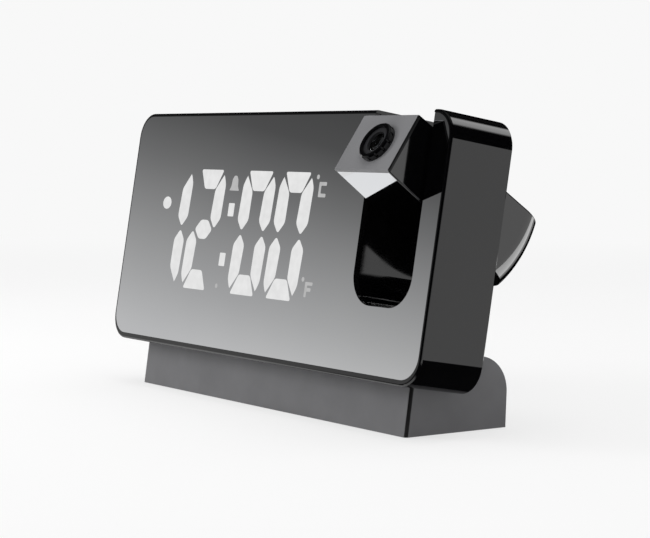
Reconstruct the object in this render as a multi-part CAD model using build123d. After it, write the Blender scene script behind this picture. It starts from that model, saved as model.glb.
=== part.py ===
"""Projection alarm clock: a mirror-fronted slab leaning back on a low base, with a projector
arm that swings through a slot at its right end.

Part frame: millimetres, +X to the viewer's right, +Y to the back, +Z up. The origin is the
centre of the base, on the plane that the clock stands on. The body is drawn upright in its own
frame (x as above, y depth behind the mirror, z height above the body's underside) and then
leant back by BODY; the arm is drawn about its pivot, with z along its lens axis, and then
turned by ARM.
"""

from build123d import *
import os
from math import cos, radians, sin, tan

os.makedirs("parts", exist_ok=True)

# ---- fits -----------------------------------------------------------------------------------
running_fit = 0.05       # radial clearance of a pin or sleeve that turns or slides
seat_gap = 0.1           # clearance round a piece that is fitted into a recess
button_gap = 0.3         # clearance round a button in its opening
touch_gap = 0.05         # end play between faces that turn or press against each other

# ---- body -----------------------------------------------------------------------------------
body_width = 190.0
body_height = 84.2
body_depth = 24.4
body_lean = 9.6          # degrees, top towards the back
body_lift = 16.8         # height of the body's lower front edge above the table
body_forward = 25.6      # that edge's distance in front of the base's centre
top_corner = 8.8         # corner radii in the front view
bottom_corner = 9.0
body_edge = 0.8          # rounding of the front and back rims
body_wall = 2.0

mirror_thickness = 2.0
mirror_rim = 1.2         # width of the moulded rim round the mirror
mirror_foot = 0.8        # further width of the rim under it
front_wall = 1.6         # wall behind the mirror

# ---- slot for the projector arm -------------------------------------------------------------
slot_width = 29.8
slot_post = 9.9          # width of the body left on the slot's outer side
slot_floor = 23.2        # height of the slot's floor above the body's underside
slot_edge = 0.3          # mirror's edge behind the slot's wall
slot_corner = 10.0
channel_wall = 2.0

# ---- rear cover and its screws --------------------------------------------------------------
cover_thickness = 2.0
cover_gap = 0.15
screw_inset_x = 8.0      # corner bosses, from the body's ends
screw_inset_z = 9.5      # and from its underside and top
screw_boss_radius = 2.6
screw_radius = 1.1
screw_head_radius = 2.2
screw_head_height = 1.2
screw_length = 9.0
cross_width = 0.6        # cross recess in a screw head
cross_depth = 0.6

# ---- display --------------------------------------------------------------------------------
display_left = 19.15     # reflector's left side, from the body's left end
display_right = 15.65    # reflector's right side, from the slot
digit_floor = 21.5       # height of the digits' feet above the body's underside
digit_ceiling = 20.4     # from the digits' heads to the body's top
digit_slant = 3.2        # degrees
digit_stroke = 6.3
digit_gap = 0.9          # web between neighbouring segments
digit_space = 1.95       # between two digits of a pair
colon_bay = 11.7         # between the two pairs
colon_dot = 4.2
colon_spread = 8.7       # each dot's height above or below the digits' middle
window_margin_x = 4.0    # reflector beyond the left digit
window_margin_z = 5.0
icon_bay = 14.0          # reflector beyond the right digit, for the signs
reflector_depth = 7.0
film_thickness = 0.3
display_board_thickness = 1.2
led_size = 2.0
led_height = 0.7
header_length = 30.0     # pin header between the display board and the main board
header_width = 2.5

# ---- main board and what it carries ---------------------------------------------------------
board_depth = 14.0       # front face of the main board, behind the mirror's front
board_thickness = 1.6
board_margin_x = 5.0     # board beyond the reflector, left and right
board_margin_z = 7.5     # board beyond the reflector, below and above
standoff_radius = 2.5
switch_size = 6.0
switch_height = 3.5
plunger_radius = 1.6
cell_radius = 10.0
cell_thickness = 3.2
cell_start = 45.0        # cell's middle, from the body's left end
cell_z = 30.8
holder_margin = 2.5      # holder beyond the cell
holder_floor = 1.4
door_size = 25.0
door_thickness = 1.2
door_ledge = 1.6
buzzer_radius = 6.5
buzzer_height = 5.0
buzzer_start = 105.0     # buzzer's middle, from the body's left end
buzzer_z = 30.8
grille_slots = 5
grille_pitch = 2.4
grille_slot_width = 1.2
grille_slot_length = 12.0

# ---- buttons --------------------------------------------------------------------------------
button_names = ["time", "alarm", "up", "down", "projector"]
button_pitch = 15.0
button_start = 35.0      # first button, from the body's left end
button_drop = 22.2       # below the body's top
button_width = 9.0
button_height = 5.4
button_proud = 0.9
button_flange = 1.0      # flange beyond the cap, all round
button_flange_thickness = 0.8
button_travel = 0.6
snooze_start = 75.0      # bar's middle, from the body's left end
snooze_depth = 12.5      # centre of the bar, behind the mirror's front
snooze_length = 50.0
snooze_width = 8.0
snooze_flange = 1.5

# ---- projector arm --------------------------------------------------------------------------
arm_side_gap = 0.75      # arm to slot wall, each side
arm_floor_gap = 0.25     # tail to slot floor
arm_thickness = 21.7     # through the pivot
arm_proud = 2.3          # lens face above the body's top when the arm is stowed
pivot_depth = 12.2       # behind the mirror's front
pivot_drop = 21.1        # below the body's top
arm_turn = 61.8          # degrees from stowed, upright, to the drawn position
arm_taper = 3.1          # degrees between the arm's mirror side and its back
arm_wall = 1.6
arm_edge = 0.5
arm_mirror_thickness = 1.5
arm_mirror_rim = 0.6
cap_thickness = 1.0      # end cap of the lens face
cap_edge = 0.3
end_wall = 1.2
pivot_radius = 3.0
pivot_bore = 1.2         # wire passage through the pivot stubs
pivot_reach = 2.6        # how far a stub enters the arm
pivot_flange_radius = 5.0
pivot_flange = 1.2
pivot_boss_radius = 5.5
washer_radius = 6.5
washer_play = 0.15       # between washer and arm

# ---- projector optics, along the arm from the lens face --------------------------------------
lens_side = 1.9          # lens axis beside the arm's middle, towards the slot's outer side
lens_drop = 0.5          # and nearer the mirror side than the lens face's middle
ring_radius = 6.5
ring_proud = 2.1
ring_flange_radius = 7.5
ring_flange = 1.2
grip_count = 14
grip_radius = 0.45
barrel_radius = 5.0
barrel_wall = 1.0
barrel_length = 10.0
barrel_recess = 0.7      # barrel's front behind the ring's front
lens_thickness = 2.6
lens_bulge = 1.0
focus_travel = 0.8       # barrel travel each way from the drawn position
tube_size = 16.4         # across, and from the lens axis to the front on half of it
tube_length = 19.0
slide_size = 12.0
slide_thickness = 1.1
condenser_radius = 5.6
condenser_thickness = 3.0
condenser_edge = 1.0
lamp_board_thickness = 1.2
lamp_radius = 2.5
lamp_edge = 1.2

# ---- base -----------------------------------------------------------------------------------
base_width = 163.0
base_depth = 39.2
base_front_rake = 8.4    # degrees, front face leaning back
base_rear_rake = 2.4     # degrees, rear face leaning out
base_wall = 2.0
base_corner = 1.2
hump_rise = 12.3         # base behind the body, above the body's underside
hump_radius = 11.5
plate_thickness = 2.0
pad_width = 132.0
pad_depth = 26.0
pad_corner = 6.0
pad_thickness = 1.1
pad_proud = 0.2
foot_screw_x = 73.0
foot_screw_y = 10.5
stand_screw_x = 60.0
stand_screw_depth = 15.0 # behind the mirror's front
stand_screw_length = 6.5
stand_boss_height = 4.0
wire_hole_radius = 3.5

# ---- sockets on the base's rear --------------------------------------------------------------
port_board_width = 56.0
port_board_depth = 15.0
port_board_thickness = 1.6
port_post_height = 2.5
port_post_radius = 2.0
port_gap = 0.3           # wall opening round a socket
socket_spacing = 28.0
dc_width = 9.0
dc_height = 8.0
dc_length = 13.0
dc_bore = 3.1
dc_bore_length = 9.5
dc_pin_radius = 1.0
usb_width = 14.4
usb_height = 7.0
usb_length = 14.0
usb_shell = 0.7
usb_depth = 11.0
usb_tongue = 1.9
usb_tongue_width = 11.0

# ---- worked out from the sizes above --------------------------------------------------------
slot_centre = body_width / 2 - slot_post - slot_width / 2
BODY = Pos(0, -body_forward, body_lift) * Rot(-body_lean, 0, 0)
ARM = Pos(slot_centre, pivot_depth, body_height - pivot_drop) * Rot(arm_turn + arm_taper, 0, 0)
TAPER = Rot(-arm_taper, 0, 0)

cavity_front = mirror_thickness + front_wall
cover_inner = body_depth - cover_thickness
digit_height = body_height - digit_floor - digit_ceiling
digit_middle = digit_floor + digit_height / 2
window_left = display_left - body_width / 2
window_right = slot_centre - slot_width / 2 - display_right
window_width = window_right - window_left
digit_span = window_width - window_margin_x - icon_bay
digit_width = (digit_span - 2 * digit_space - colon_bay) / 4
digit_pitch = digit_width + digit_space
colon_x = window_left + window_margin_x + digit_width + digit_pitch + colon_bay / 2
pair_offset = colon_bay / 2 + digit_width + digit_space / 2
window_height = digit_height + 2 * window_margin_z
window_x = (window_left + window_right) / 2
window_header_z = digit_middle - window_height / 2 + header_width
board_back = board_depth + board_thickness
cell_x = cell_start - body_width / 2
buzzer_x = buzzer_start - body_width / 2
button_first_x = button_start - body_width / 2
snooze_x = snooze_start - body_width / 2
plate_top = pad_proud + plate_thickness
port_level = plate_top + port_post_height + port_board_thickness

arm_width = slot_width - 2 * arm_side_gap
arm_back = arm_thickness - pivot_depth
lens_face = pivot_drop + arm_proud
face_front = (lens_face * sin(radians(arm_taper)) - pivot_depth) / cos(radians(arm_taper))
arm_axis = (face_front + arm_back) / 2 - lens_drop
OPTICS = Pos(lens_side, arm_axis, 0)
cap_seat = lens_face - cap_thickness
tail_radius = body_height - pivot_drop - slot_floor - arm_floor_gap
tail_corner = slot_corner - arm_floor_gap
ring_seat = cap_seat - end_wall - touch_gap
tube_top = ring_seat - ring_flange - touch_gap
barrel_front = lens_face + ring_proud - barrel_recess
slide_top = barrel_front - barrel_length - focus_travel - 4 * touch_gap
tube_foot = tube_top - tube_length
tube_half = tube_size / 2
tube_back = arm_back - arm_wall - seat_gap - arm_axis


# ---- general shapes -------------------------------------------------------------------------
def slab(outline, near, far):
    """Solid between two depths of the body, from an outline drawn in the front view."""
    return Pos(0, near, 0) * extrude(Plane.XZ * outline, near - far)


def rod(radius, near, far, x, z):
    """Round solid along the body's depth."""
    return slab(Pos(x, z) * Circle(radius), near, far)


def column(radius, low, high):
    """Round solid along z, on the local z axis."""
    return Pos(0, 0, low) * extrude(Circle(radius), high - low)


def block(low, high):
    """Box between two opposite corners."""
    size = [b - a for a, b in zip(low, high)]
    return Pos(*low) * Box(*size, align=(Align.MIN, Align.MIN, Align.MIN))


def screw(length):
    """Cross-head screw on the local z axis: head above z = 0, shank below."""
    body = column(screw_head_radius, 0, screw_head_height) + column(screw_radius, -length, 0)
    arm = block(
        (-screw_radius, -cross_width / 2, screw_head_height - cross_depth),
        (screw_radius, cross_width / 2, screw_head_height + 1),
    )
    return body - arm - Rot(0, 0, 90) * arm


def screw_hole(length):
    """Room for a screw of that length, with its head's counterbore."""
    hole = column(screw_radius + running_fit, -length - 1, 0)
    return hole + column(screw_head_radius + seat_gap, 0, 2 * screw_head_height)


# ---- body: outlines in the front view --------------------------------------------------------
def front_outline(inset, foot=0):
    """Front view of the body drawn in by an inset, and raised further at its foot."""
    shape = Rectangle(body_width - 2 * inset, body_height - 2 * inset - foot)
    outline = Pos(0, (body_height + foot) / 2) * shape
    outline = fillet(outline.vertices().group_by(Axis.Y)[-1], top_corner - inset)
    return fillet(outline.vertices().group_by(Axis.Y)[0], bottom_corner - inset)


def slot_outline(grow):
    """The slot's U shape, carried well above the body's top."""
    radius = slot_corner + grow
    low = slot_floor - grow
    high = body_height + 2 * radius
    shape = RectangleRounded(slot_width + 2 * grow, high - low, radius)
    return Pos(slot_centre, (low + high) / 2) * shape


def window_outline(grow):
    shape = Rectangle(window_width + 2 * grow, window_height + 2 * grow)
    return Pos(window_x, digit_middle) * shape


def post_x():
    """Middle of the narrow post on the slot's outer side."""
    return (slot_centre + slot_width / 2 + channel_wall + body_width / 2 - body_wall) / 2


def cover_screw_places():
    """Front-view places of the screws that hold the rear cover."""
    left = -body_width / 2 + screw_inset_x
    low, high = screw_inset_z, body_height - screw_inset_z
    inner = slot_centre - slot_width / 2 - channel_wall - screw_boss_radius - 2 * cover_gap
    return [(left, low), (left, high), (inner, high), (post_x(), high), (slot_centre, low)]


def board_corners(inset):
    """Front-view corners of the main board, drawn in by an inset."""
    dx = window_width / 2 + board_margin_x - inset
    dz = window_height / 2 + board_margin_z - inset
    return [(window_x + i * dx, digit_middle + j * dz) for i in (-1, 1) for j in (-1, 1)]


def button_places():
    height = body_height - button_drop
    return [(button_first_x + i * button_pitch, height) for i in range(len(button_names))]


def stand_screw_hole(side):
    """Screw that holds the body to the base, from below."""
    place = Pos(side * stand_screw_x, stand_screw_depth, -base_wall) * Rot(180, 0, 0)
    return place * screw_hole(stand_screw_length)


def wire_hole():
    return Pos(0, stand_screw_depth, 0) * column(
        wire_hole_radius, -2 * base_wall, 2 * body_wall
    )


# ---- body: housing --------------------------------------------------------------------------
def front_housing():
    """Deep tub, open at the back, with the arm's channel moulded through it."""
    outer = slab(front_outline(0), 0, body_depth)
    outer = fillet(outer.edges().filter_by_position(Axis.Y, 0, 0), body_edge)
    outer = chamfer(outer.edges().filter_by_position(Axis.Y, body_depth, body_depth), body_edge)

    tub = outer - slab(front_outline(body_wall), cavity_front, body_depth + 1)
    tub += outer & slab(slot_outline(channel_wall), cavity_front, body_depth)
    for x, z in cover_screw_places():
        tub += rod(screw_boss_radius, cavity_front, cover_inner, x, z)
    for x, z in board_corners(standoff_radius):
        tub += rod(standoff_radius, cavity_front, board_depth, x, z)
    for side in (-1, 1):
        boss = column(screw_boss_radius, body_wall, body_wall + stand_boss_height)
        tub += Pos(side * stand_screw_x, stand_screw_depth, 0) * boss
    tub -= slab(slot_outline(0), -1, body_depth + 1)

    tub -= slab(front_outline(mirror_rim - seat_gap, mirror_foot), -1, mirror_thickness)
    tub -= slab(window_outline(0), 0, cavity_front + 1)
    for x, z in cover_screw_places():
        tub -= rod(screw_radius + running_fit, cover_inner - screw_length, cover_inner + 1, x, z)
    for side in (-1, 1):
        tub -= stand_screw_hole(side)
    tub -= wire_hole()
    tub -= snooze_opening(button_gap, body_height - 2 * body_wall, body_height + 1)
    return tub - pivot_axle(pivot_radius + running_fit, slot_width + 3 * channel_wall)


def mirror_panel():
    """Smoked half-mirror with a notch for the arm, reaching down both sides of the slot."""
    outline = front_outline(mirror_rim, mirror_foot) - slot_outline(slot_edge)
    return slab(outline, 0, mirror_thickness)


def button_outline(grow):
    width = button_width + 2 * grow
    height = button_height + 2 * grow
    return RectangleRounded(width, height, height / 2 - touch_gap)


def rear_cover():
    outline = front_outline(body_wall + cover_gap) - slot_outline(channel_wall + cover_gap)
    cover = slab(outline, cover_inner, body_depth)
    for x, z in cover_screw_places():
        cover -= rod(screw_radius + running_fit, cover_inner - 1, body_depth + 1, x, z)
        cover -= rod(screw_head_radius + seat_gap, body_depth - screw_head_height, body_depth + 1, x, z)
    for x, z in button_places():
        cover -= slab(Pos(x, z) * button_outline(button_gap), cover_inner - 1, body_depth + 1)
    slot = SlotOverall(grille_slot_length, grille_slot_width)
    for place in GridLocations(0, grille_pitch, 1, grille_slots):
        cover -= slab(Pos(buzzer_x, buzzer_z) * place * slot, cover_inner - 1, body_depth + 1)
    return cover - door_recess()


def door_recess():
    """Opening over the coin cell, with a ledge that the door sits on."""
    seat = Rectangle(door_size + 2 * seat_gap, door_size + 2 * seat_gap)
    hole = Rectangle(door_size - 2 * door_ledge, door_size - 2 * door_ledge)
    lug = Pos(*door_screw_offset()) * Circle(screw_boss_radius)
    place = Pos(cell_x, cell_z)
    room = slab(place * seat, body_depth - door_thickness, body_depth + 1)
    room += slab(place * (hole - lug), cover_inner - 1, body_depth)
    spot = place * Pos(*door_screw_offset()) * Circle(screw_radius + running_fit)
    return room + slab(spot, cover_inner - 1, body_depth)


def door_screw_offset():
    """From the door's middle to its screw, in one corner."""
    reach = door_size / 2 - screw_boss_radius
    return (reach, -reach)


def battery_door():
    place = Pos(cell_x, cell_z)
    plate = slab(place * Rectangle(door_size, door_size), body_depth - door_thickness, body_depth)
    spot = place * Pos(*door_screw_offset())
    plate -= slab(spot * Circle(screw_radius + running_fit), cover_inner, body_depth + 1)
    notch = Pos(0, door_size / 2) * SlotOverall(grille_slot_length, grille_slot_width * 2)
    return plate - slab(place * notch, body_depth - door_thickness / 2, body_depth + 1)


def battery_door_screw():
    """Short screw, held by the door's lug and the cell holder's corner."""
    x, z = door_screw_offset()
    place = Pos(cell_x + x, body_depth, cell_z + z) * Rot(-90, 0, 0)
    return place * screw(cover_thickness)


def cover_screw(x, z):
    seat = body_depth - screw_head_height
    return Pos(x, seat, z) * Rot(-90, 0, 0) * screw(screw_length)


# ---- body: display --------------------------------------------------------------------------
def segment(points):
    """One segment's outline from its corner points, clockwise or not."""
    return make_face(Polyline(*points, close=True))


def digit_segments():
    """The seven slanted segments of one digit, about the digit's middle."""
    w, h, s = digit_width / 2, digit_height / 2, digit_stroke
    g = digit_gap / 2
    half = s / 2
    bars = []
    for up in (-1, 1):
        outer = up * h
        inner = up * (h - s)
        bars.append([(-w + g, outer), (w - g, outer), (w - s - g, inner), (-w + s + g, inner)])
        for side in (-1, 1):
            edge = side * w
            core = side * (w - s)
            tip = side * (w - half)
            bars.append([
                (edge, up * (h - g)), (edge, up * (half + g)), (tip, up * g),
                (core, up * (half + g)), (core, up * (h - s - g)),
            ])
    reach = w - half - g
    bars.append([(-reach, 0), (half - reach, half), (reach - half, half), (reach, 0),
                 (reach - half, -half), (half - reach, -half)])
    lean = tan(radians(digit_slant))
    return [segment([(x + z * lean, z) for x, z in bar]) for bar in bars]


def display_outlines():
    """Every lit window of the display: four digits and the colon."""
    outlines = []
    for pair in (-1, 1):
        for place in (-0.5, 0.5):
            x = colon_x + pair * pair_offset + place * digit_pitch
            outlines += [Pos(x, digit_middle) * shape for shape in digit_segments()]
    lean = tan(radians(digit_slant))
    for up in (-1, 1):
        x = colon_x + up * colon_spread * lean
        outlines.append(Pos(x, digit_middle + up * colon_spread) * Rectangle(colon_dot, colon_dot))
    return outlines


def diffuser_film():
    back = mirror_thickness + film_thickness
    return slab(window_outline(-seat_gap), mirror_thickness, back)


def digit_reflector():
    """White light box: one tapered well for each segment."""
    front = mirror_thickness + film_thickness
    box = slab(window_outline(-seat_gap), front, front + reflector_depth)
    for outline in display_outlines():
        box -= slab(outline, front - 1, front + reflector_depth + 1)
    return box


def display_board():
    """Board behind the reflector, with a chip light in the middle of each well."""
    front = mirror_thickness + film_thickness + reflector_depth
    board = slab(window_outline(-seat_gap), front, front + display_board_thickness)
    for outline in display_outlines():
        centre = outline.center()
        chip = Pos(centre.X, centre.Y) * Rectangle(led_size, led_size)
        board += slab(chip, front - led_height, front)
    header = Pos(window_x, window_header_z) * Rectangle(header_length, header_width)
    return board + slab(header, front, board_depth)


# ---- body: main board -----------------------------------------------------------------------
def main_board():
    dx = window_width + 2 * board_margin_x
    dz = window_height + 2 * board_margin_z
    board = slab(Pos(window_x, digit_middle) * Rectangle(dx, dz), board_depth, board_back)
    for x, z in board_corners(standoff_radius):
        board -= rod(screw_radius, board_depth - 1, board_back + 1, x, z)
    return board


def tact_switch(x, z):
    """Push switch facing the back; its plunger ends just short of the pressed button."""
    body = slab(Pos(x, z) * Rectangle(switch_size, switch_size), board_back, board_back + switch_height)
    tip = cover_inner - button_flange_thickness - button_travel - touch_gap
    return body + rod(plunger_radius, board_back + switch_height, tip, x, z)


def button(x, z):
    """Push button: cap through the rear cover, flange behind it."""
    flange = button_outline(button_gap + button_flange)
    cap = slab(Pos(x, z) * button_outline(0), cover_inner, body_depth + button_proud)
    rim = cap.edges().filter_by_position(Axis.Y, body_depth + button_proud, body_depth + button_proud)
    cap = chamfer(rim, button_proud / 2)
    return cap + slab(Pos(x, z) * flange, cover_inner - button_flange_thickness, cover_inner)


def snooze_opening(grow, low, high):
    length = snooze_length + 2 * grow
    width = snooze_width + 2 * grow
    shape = RectangleRounded(length, width, width / 2 - touch_gap)
    return Pos(snooze_x, snooze_depth, low) * extrude(shape, high - low)


def snooze_bar():
    """Long bar, flush in the top wall, with its flange below the wall."""
    ceiling = body_height - body_wall
    bar = snooze_opening(0, ceiling, body_height)
    return bar + snooze_opening(snooze_flange, ceiling - button_flange_thickness, ceiling)


def snooze_switch():
    """Side-acting switch on the main board, its plunger under the snooze bar."""
    middle = board_back + plunger_radius
    top = digit_middle + window_height / 2 + board_margin_z
    body = block(
        (snooze_x - switch_size / 2, board_back, top - switch_size),
        (snooze_x + switch_size / 2, middle + plunger_radius, top),
    )
    tip = body_height - body_wall - button_flange_thickness - button_travel - touch_gap
    return body + Pos(snooze_x, middle, 0) * column(plunger_radius, top, tip)


def cell_holder():
    """Open tray for the coin cell, with a corner pillar under the door's screw."""
    half = cell_radius + holder_margin
    floor = board_back + holder_floor
    tray = slab(Pos(cell_x, cell_z) * Rectangle(2 * half, 2 * half), board_back, floor + cell_thickness)
    tray -= rod(cell_radius + seat_gap, floor, body_depth, cell_x, cell_z)
    x, z = door_screw_offset()
    return tray - rod(screw_radius + seat_gap, floor, body_depth, cell_x + x, cell_z + z)


def coin_cell():
    floor = board_back + holder_floor
    can = rod(cell_radius, floor, floor + cell_thickness, cell_x, cell_z)
    rim = can.edges().filter_by_position(Axis.Y, floor, floor)
    return chamfer(rim, cell_thickness / 8)


def buzzer():
    can = rod(buzzer_radius, board_back, board_back + buzzer_height, buzzer_x, buzzer_z)
    return can - rod(screw_radius, board_back + buzzer_height / 2, body_depth, buzzer_x, buzzer_z)


# ---- pivot ----------------------------------------------------------------------------------
def pivot_axle(radius, length):
    """Solid of a given length along the pivot's axis, centred on the slot."""
    axle = extrude(Plane.YZ * Circle(radius), length / 2, both=True)
    return Pos(slot_centre, pivot_depth, body_height - pivot_drop) * axle


def pivot_ring(outer, bore, side, near, far):
    """Ring on the pivot's axis, between two distances from the slot's middle."""
    ring = extrude(Plane.YZ * (Circle(outer) - Circle(bore)), far - near)
    place = Pos(slot_centre + side * near, pivot_depth, body_height - pivot_drop)
    return place * (ring if side > 0 else Rot(0, 180, 0) * ring)


def pivot_stub(side):
    """Hollow stub axle, pushed through the channel wall from inside the body."""
    wall_face = slot_width / 2 + channel_wall
    tip = arm_width / 2 - pivot_reach
    shaft = pivot_ring(pivot_radius, pivot_bore, side, tip, wall_face + pivot_flange)
    return shaft + pivot_ring(pivot_flange_radius, pivot_bore, side, wall_face, wall_face + pivot_flange)


def pivot_washer(side):
    """Thin friction washer between the arm and the slot wall."""
    bore = pivot_radius + running_fit
    return pivot_ring(washer_radius, bore, side, arm_width / 2 + washer_play, slot_width / 2)


# ---- projector arm, about its pivot, with z along the lens axis -------------------------------
def arm_space(front, top):
    """All that lies behind a depth from the arm's mirror face and below a height."""
    big = 3 * tail_radius
    behind = TAPER * block((-big, front - pivot_depth, -big), (big, big, big))
    return behind & block((-big, -big, -big), (big, big, top))


def arm_bar(inset, front, low, high):
    """Bar of the arm, drawn in at its sides and back, with its own depth of the mirror side."""
    half = arm_width / 2 - inset
    bar = block((-half, -tail_radius, low), (half, arm_back - inset, high))
    return bar & arm_space(front, high)


def long_edges(shape):
    """Edges that run along the arm, on its back and on its mirror side."""
    edges = shape.edges().filter_by(Axis.Z)
    slope = radians(arm_taper)
    return edges + shape.edges().filter_by(Axis((0, 0, 0), (0, sin(slope), cos(slope))))


def arm_form():
    """The arm's outer form: a square bar whose tail is the rim of a wheel about the pivot."""
    wheel = extrude(Plane.YZ * Circle(tail_radius), arm_width / 2, both=True)
    wheel = fillet(wheel.edges().filter_by(GeomType.CIRCLE), tail_corner)
    form = (wheel & arm_bar(0, 0, -tail_radius, cap_seat)) + arm_bar(0, 0, 0, cap_seat)
    return fillet(long_edges(form), arm_edge)


def arm_hollow():
    """Room inside the arm, its tail bevelled to stay clear of the rounded outside."""
    wheel = extrude(Plane.YZ * Circle(tail_radius - arm_wall), arm_width / 2 - arm_wall, both=True)
    wheel = chamfer(wheel.edges().filter_by(GeomType.CIRCLE), tail_corner / 2)
    high = cap_seat - end_wall
    room = wheel & arm_bar(arm_wall, 0, -tail_radius, high)
    room = (room + arm_bar(arm_wall, 0, 0, high)) & arm_space(arm_mirror_thickness, high)
    for side in (-1, 1):
        boss = extrude(Plane.YZ * Circle(pivot_boss_radius), -side * (pivot_reach + touch_gap))
        room -= Pos(side * arm_width / 2, 0, 0) * boss
    return room


def arm_face(inset):
    """Outline of the arm's mirror side, drawn in by an inset: a bar with a rounded foot."""
    low = inset - (tail_radius**2 - pivot_depth**2) ** 0.5
    bar = Pos(0, lens_face + low / 2) * Rectangle(arm_width - 2 * inset, 2 * lens_face - low)
    return fillet(bar.vertices().group_by(Axis.Y)[0], tail_corner - inset)


def arm_front_slab(inset, proud):
    """Slab of the mirror's thickness in the arm's mirror side, with some more in front of it."""
    back = arm_mirror_thickness - pivot_depth
    return TAPER * slab(arm_face(inset), -pivot_depth - proud, back)


def arm_shell():
    """Hollow arm, open on the mirror side, with the end wall that carries the focus ring."""
    shell = arm_form() - arm_hollow() - arm_front_slab(arm_mirror_rim - seat_gap, 1)
    shell -= extrude(Plane.YZ * Circle(pivot_radius + running_fit), arm_width, both=True)
    return shell - OPTICS * column(ring_radius + running_fit, 0, lens_face)


def arm_mirror():
    """Mirror strip on the arm's front, level with the body's mirror when the arm is stowed."""
    return arm_front_slab(arm_mirror_rim, 0) & arm_space(0, cap_seat - seat_gap)


def arm_cap():
    """End cap of the lens face, round the focus ring."""
    cap = arm_bar(0, 0, cap_seat, lens_face)
    cap = fillet(long_edges(cap), arm_edge)
    cap = chamfer(cap.faces().sort_by(Axis.Z)[-1].edges(), cap_edge)
    return cap - OPTICS * column(ring_radius + running_fit, 0, lens_face + 1)


def optics_tube():
    """Square holder for the lamp, condenser, slide and lens barrel."""
    tube = block((-tube_half, -tube_half, tube_foot), (tube_half, tube_back, tube_top))
    tube -= column(barrel_radius + running_fit, slide_top, tube_top + 1)
    pocket = slide_size / 2 + seat_gap
    tube -= block((-pocket, -pocket, tube_foot - 1), (pocket, pocket, slide_top))
    return OPTICS * tube


def time_slide():
    """Small liquid-crystal slide with the image that is projected."""
    half = slide_size / 2
    slide = block((-half, -half, slide_top - slide_thickness), (half, half, slide_top))
    return OPTICS * slide


def dome(radius, low, high, bulge):
    """Round solid with a spherical top: the rim is at high - bulge, the crown at high."""
    ball = (radius**2 + bulge**2) / (2 * bulge)
    return column(radius, low, high) & Pos(0, 0, high - ball) * Sphere(ball)


def bevelled(radius, low, high, edge):
    """Round solid with a bevelled top."""
    solid = column(radius, low, high)
    return chamfer(solid.edges().filter_by_position(Axis.Z, high, high), edge)


def condenser_lens():
    high = slide_top - slide_thickness
    lens = bevelled(condenser_radius, high - condenser_thickness, high, condenser_edge)
    return OPTICS * lens


def lamp_board():
    """Board that closes the tube's foot, with the lamp in its middle."""
    low = tube_foot - lamp_board_thickness
    board = block((-tube_half, -tube_half, low), (tube_half, tube_back, tube_foot))
    return OPTICS * board


def projector_lamp():
    high = slide_top - slide_thickness - condenser_thickness - touch_gap
    return OPTICS * bevelled(lamp_radius, tube_foot, high, lamp_edge)


def focus_ring():
    """Gripped ring in the lens face, held by its flange behind the end wall."""
    top = lens_face + ring_proud
    ring = bevelled(ring_radius, ring_seat - ring_flange, top, arm_edge)
    ring += column(ring_flange_radius, ring_seat - ring_flange, ring_seat)
    ring -= column(barrel_radius + running_fit, tube_top - 1, top + 1)
    grip = column(grip_radius, lens_face + arm_edge, top + 1)
    for place in PolarLocations(ring_radius, grip_count):
        ring -= place * grip
    return OPTICS * ring


def lens_barrel():
    """Sleeve that slides in the ring and the tube, with a lip in front of the lens."""
    bore = barrel_radius - barrel_wall
    low = barrel_front - barrel_length
    barrel = column(barrel_radius, low, barrel_front)
    barrel -= column(bore, low - 1, barrel_front - barrel_wall)
    return OPTICS * (barrel - column(bore - barrel_wall / 2, low, barrel_front + 1))


def projection_lens():
    radius = barrel_radius - barrel_wall - seat_gap
    seat = barrel_front - barrel_wall
    lens = column(radius, seat - lens_thickness, seat)
    crown = dome(radius - barrel_wall, seat - touch_gap, seat + lens_bulge - touch_gap, lens_bulge)
    return OPTICS * (lens + crown)


# ---- base -----------------------------------------------------------------------------------
def base_form(inset, floor):
    """The base's form drawn in by an inset: raked faces, hump behind the body, saddle under it."""
    reach = body_lift + hump_rise + hump_radius
    front = -base_depth / 2
    rear = base_depth / 2
    lean_front, lean_rear = tan(radians(base_front_rake)), tan(radians(base_rear_rake))
    profile = Polyline(
        (front + floor * lean_front + inset, floor),
        (front + reach * lean_front + inset, reach),
        (rear + reach * lean_rear - inset, reach),
        (rear + floor * lean_rear - inset, floor),
        close=True,
    )
    form = extrude(Plane.YZ * make_face(profile), base_width / 2 - inset, both=True)
    big = base_width + base_depth
    form &= BODY * block((-big, -big, -big), (big, big, hump_rise - inset))
    ridge = form.edges().filter_by(Axis.X).sort_by(lambda e: e.center().Y + e.center().Z)[-1]
    form = fillet(ridge, hump_radius - inset)
    if inset == 0:
        front_faces = form.faces().sort_by(Axis.Y)[0].edges()
        rails = [e for e in front_faces if abs((e @ 1 - e @ 0).Z) > base_wall]
        form = fillet(rails, base_corner)
    return form - BODY * block((-big, -big, -inset), (big, body_depth + inset, big))


def base_stand():
    stand = base_form(0, pad_proud) - base_form(base_wall, -1)
    core = base_form(base_wall / 2, 0)
    for x in (-foot_screw_x, foot_screw_x):
        for y in (-foot_screw_y, foot_screw_y):
            pillar = Pos(x, y, 0) * column(screw_boss_radius, plate_top, body_lift + hump_rise)
            stand += pillar & core
            bore_end = pad_proud + screw_head_height + screw_length + seat_gap
            stand -= Pos(x, y, 0) * column(screw_radius + running_fit, 0, bore_end)
    for side in (-1, 1):
        stand -= BODY * stand_screw_hole(side)
    stand -= BODY * wire_hole()
    for opening in socket_openings():
        stand -= opening
    return stand


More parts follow.
